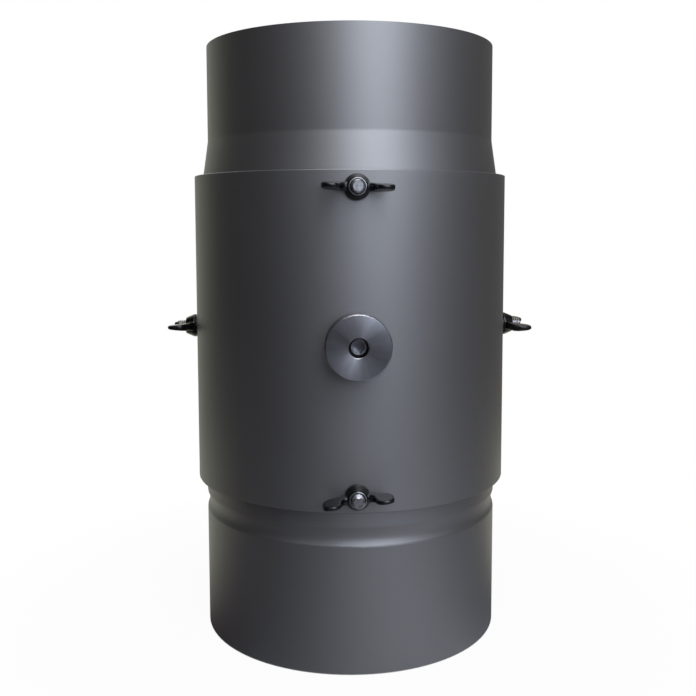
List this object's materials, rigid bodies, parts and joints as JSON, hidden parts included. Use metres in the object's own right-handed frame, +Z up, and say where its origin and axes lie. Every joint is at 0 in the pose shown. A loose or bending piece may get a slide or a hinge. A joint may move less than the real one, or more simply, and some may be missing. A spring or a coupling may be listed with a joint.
{
  "type": "stove pipe catalytic filter",
  "caption": "Flue pipe section with a catalytic honeycomb on a front-to-back spindle, turned by a knob through a bolted inspection hatch.",
  "frame": {"origin": "centre of the lower socket's mouth, on the flue axis in the plane of the bottom rim", "axes": "+Z up along the flue axis, -Y towards the hatch and knob, +X to the right seen from the front"},
  "size_m": [0.1922, 0.1801, 0.303],
  "materials": {
    "stove_paint": "satin heat-resistant stove paint",
    "glass_cord": "flat woven glass cord",
    "bright_steel": "bright zinc",
    "black_zinc": "black coated",
    "blackened_steel": "turned and blackened",
    "black_oxide": "black oxide",
    "stainless": "rolled stainless steel",
    "fibre_mat": "pressed ceramic fibre",
    "coated_ceramic": "washcoated extruded ceramic"
  },
  "bodies": {
    "pipe": {"flue_pipe": "stove_paint", "hatch_cover": "stove_paint", "hatch_gasket": "glass_cord", "hatch_studs": "bright_steel", "stud_washers": "black_zinc", "spindle_bush": "blackened_steel", "bush_nut": "bright_steel", "thrust_washer": "stainless", "rear_bearing": "stove_paint"},
    "filter": {"knob": "blackened_steel", "knob_screw": "black_oxide", "knob_washer": "stainless", "stop_pin": "bright_steel", "spindle": "stainless", "spindle_clip": "stainless", "disc_spring": "stainless", "front_saddle": "stainless", "rear_saddle": "stainless", "saddle_rivets": "stainless", "catalyst_band": "stainless", "core_mat": "fibre_mat", "retaining_ring": "stainless", "catalyst_core": "coated_ceramic", "rear_pivot": "stainless"},
    "top_nut": {"wing_nut_top": "black_zinc"},
    "bottom_nut": {"wing_nut_bottom": "black_zinc"},
    "left_nut": {"wing_nut_left": "black_zinc"},
    "right_nut": {"wing_nut_right": "black_zinc"}
  },
  "joints": [
    {"name": "filter_turn", "type": "hinge", "parent": "pipe", "child": "filter", "pos_m": [0, 0, 0.1583], "axis": [0, 1, 0], "range_deg": [0, 90]},
    {"name": "top_nut_turn", "type": "hinge", "parent": "pipe", "child": "top_nut", "pos_m": [0, -0.08155, 0.229], "axis": [0, -1, 0], "continuous": true},
    {"name": "bottom_nut_turn", "type": "hinge", "parent": "pipe", "child": "bottom_nut", "pos_m": [0, -0.08155, 0.0876], "axis": [0, -1, 0], "continuous": true},
    {"name": "left_nut_turn", "type": "hinge", "parent": "pipe", "child": "left_nut", "pos_m": [-0.08155, 0, 0.1583], "axis": [-1, 0, 0], "continuous": true},
    {"name": "right_nut_turn", "type": "hinge", "parent": "pipe", "child": "right_nut", "pos_m": [0.08155, 0, 0.1583], "axis": [1, 0, 0], "continuous": true}
  ]
}
